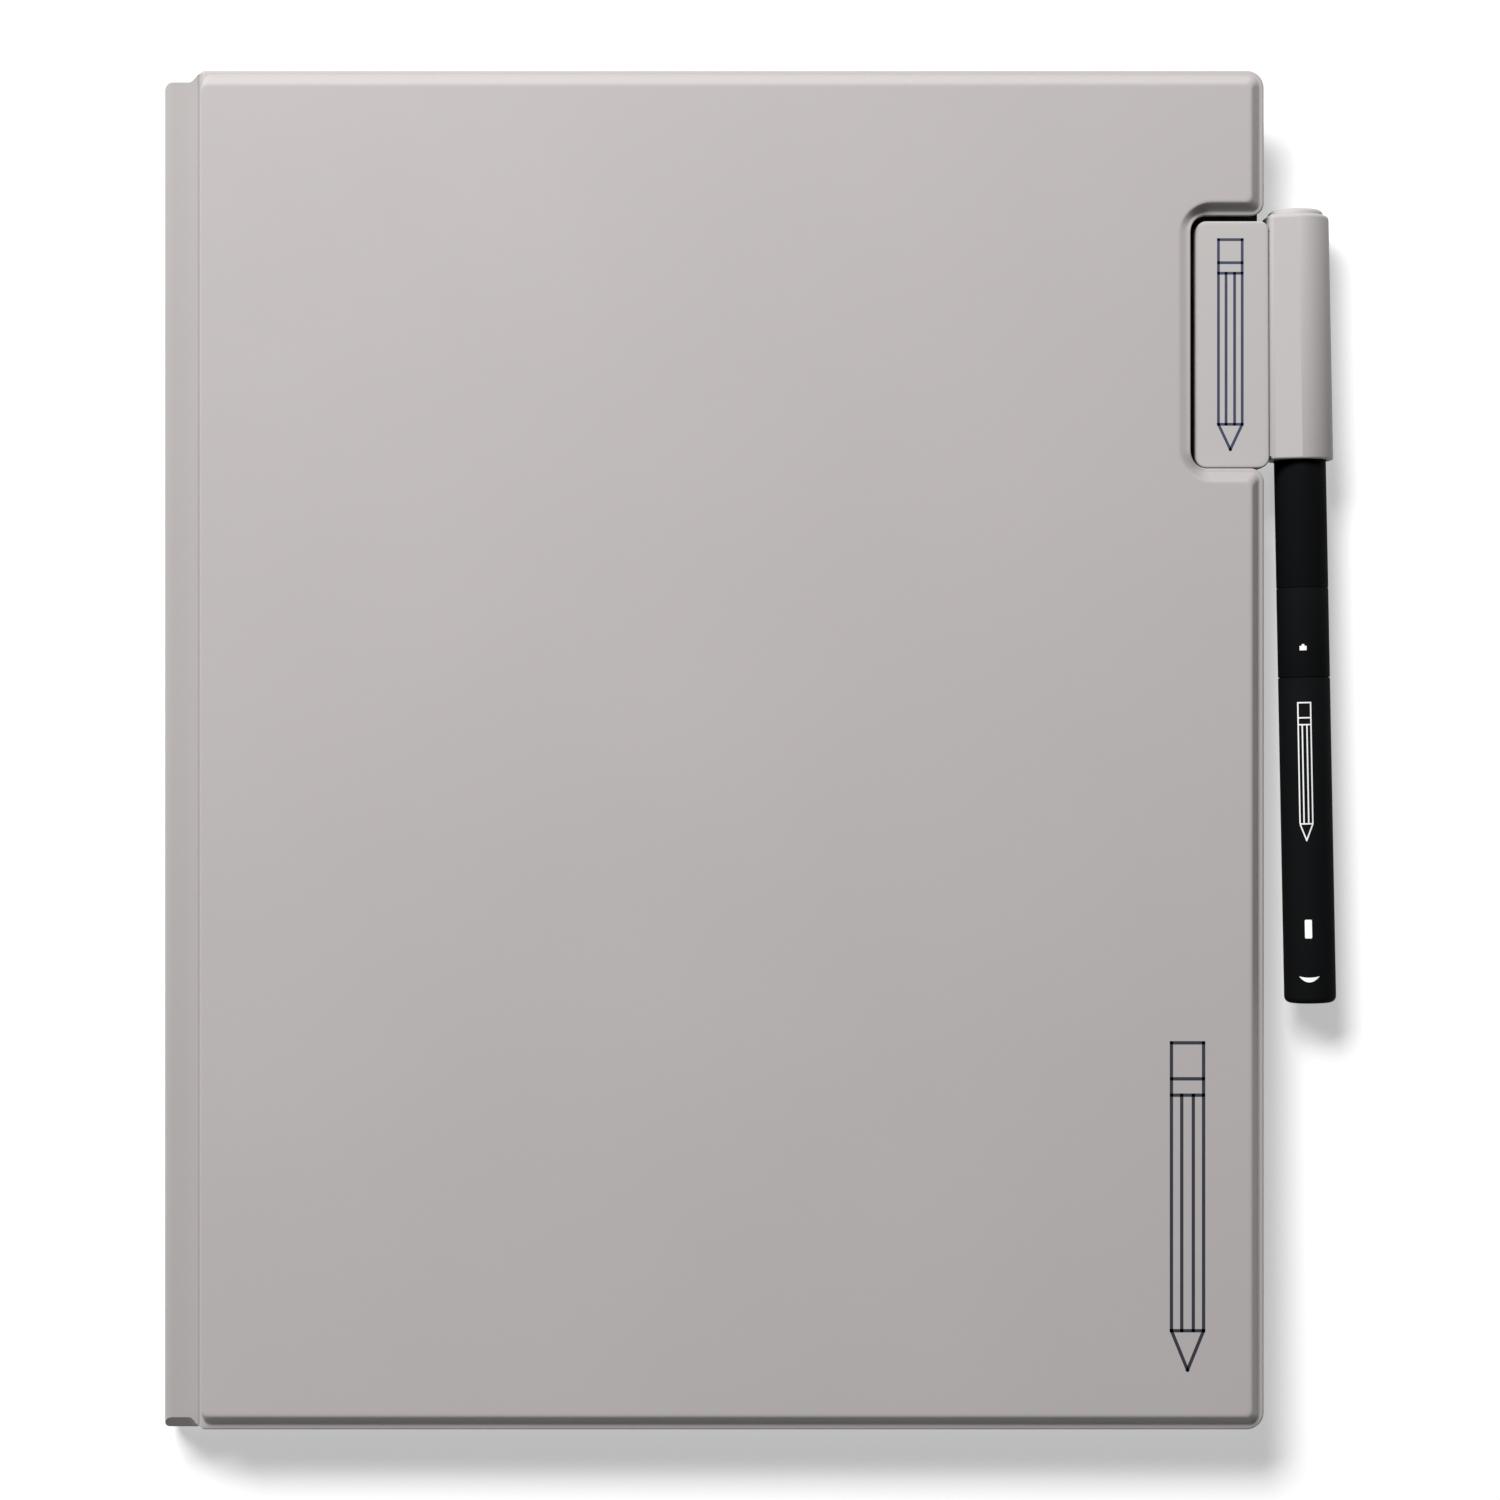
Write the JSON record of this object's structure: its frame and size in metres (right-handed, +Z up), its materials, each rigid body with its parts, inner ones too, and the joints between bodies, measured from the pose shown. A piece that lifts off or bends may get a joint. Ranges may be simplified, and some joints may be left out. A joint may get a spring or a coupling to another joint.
{
  "type": "digital notepad folio",
  "caption": "Closed folio over a paper pad on a sensing slab, with a notch, a tab, a pen sleeve on its open edge and a pen.",
  "frame": {"origin": "centre of the footprint, on the surface the back cover lies on", "axes": "+X from the spine to the open edge with the pen, +Y to the top of the page, +Z up out of the front cover"},
  "size_m": [0.2142, 0.2476, 0.0159],
  "materials": {
    "soft_skin": "soft-touch moulded skin",
    "fold_skin": "matt fold",
    "board": "grey board",
    "lining": "fine dark weave",
    "tape": "foam tape",
    "dark_plastic": "matt",
    "top_plastic": "fine matt grain",
    "steel": "satin",
    "circuit": "lacquered circuit board",
    "chip": "matt",
    "ribbon": "ribbon",
    "foil": "foil",
    "yellow_tape": "tape",
    "clear": "clear",
    "light_body": "diode",
    "button": "satin",
    "card": "grey-brown card",
    "paper": "paper",
    "binding": "cloth tape",
    "tab_skin": "soft-touch moulded skin, lighter",
    "magnet": "plated",
    "pen_black": "fine matt",
    "pen_nose": "matt",
    "refill": "satin",
    "socket": "matt",
    "coil": "wound copper",
    "white_inlay": "satin"
  },
  "bodies": {
    "tray": {"back_skin": "soft_skin", "back_board": "board", "back_lining": "lining", "mounting_tape": "tape", "holder_strap": "soft_skin", "pen_sleeve": "tab_skin", "sleeve_end_cap": "tab_skin", "rear_housing": "dark_plastic", "top_plate": "top_plastic", "housing_screws": "steel", "shield_sheet": "foil", "sensor_board": "circuit", "sensor_ribbon": "ribbon", "main_board": "circuit", "board_chips": "chip", "radio_module": "foil", "battery_cell": "foil", "battery_tape": "yellow_tape", "usb_socket": "steel", "button_switch": "steel", "status_light": "light_body", "light_pipe": "clear", "dock_plate": "steel", "pad_clip": "steel", "slab_spacers": "tape", "lower_fold_skin": "fold_skin"},
    "button": {"record_button": "button"},
    "pad": {"pad_card": "card", "pad_sheets": "paper", "pad_binding": "binding"},
    "spine": {"spine_skin": "soft_skin", "spine_board": "board", "spine_lining": "lining", "crease_skin": "fold_skin"},
    "front_cover": {"front_skin": "soft_skin", "front_board": "board", "front_lining": "lining", "document_pocket": "lining"},
    "tab": {"tab_shell": "tab_skin", "tab_base": "lining", "tab_magnets": "magnet", "tab_hinge_web": "fold_skin"},
    "pen": {"pen_front_barrel": "pen_black", "pen_nose": "pen_nose", "ink_refill": "refill", "refill_socket": "socket", "sensing_coil": "coil", "pen_board": "circuit", "pen_mid_band": "pen_black", "pen_thread": "pen_nose", "band_mark": "white_inlay"},
    "pen_rear": {"pen_rear_barrel": "pen_black", "rear_window": "white_inlay", "rear_crescent": "white_inlay"}
  },
  "joints": [
    {"name": "spine_fold", "type": "hinge", "parent": "tray", "child": "spine", "pos_m": [-0.10705, 0, 0.00325], "axis": [0, -1, 0], "range_deg": [0, 90]},
    {"name": "cover_hinge", "type": "hinge", "parent": "spine", "child": "front_cover", "pos_m": [-0.0998, 0, 0.013], "axis": [0, -1, 0], "range_deg": [0, 92]},
    {"name": "tab_lift", "type": "hinge", "parent": "tray", "child": "tab", "pos_m": [0.0938, 0, 0.0133], "axis": [0, 1, 0], "range_deg": [0, 150]},
    {"name": "pen_slide", "type": "slide", "parent": "tray", "child": "pen", "axis": [0.0192, -0.9998, 0], "range_m": [0, 0.045]},
    {"name": "barrel_pull", "type": "slide", "parent": "pen", "child": "pen_rear", "axis": [0.0192, -0.9998, 0], "range_m": [0, 0.012]},
    {"name": "button_press", "type": "slide", "parent": "tray", "child": "button", "axis": [0, 0, -1], "range_m": [0, 0.0004], "stiffness_N_per_m": 800, "springref_m": -0.0005},
    {"name": "pad_slide", "type": "slide", "parent": "tray", "child": "pad", "axis": [0, -1, 0], "range_m": [0, 0.012]}
  ]
}
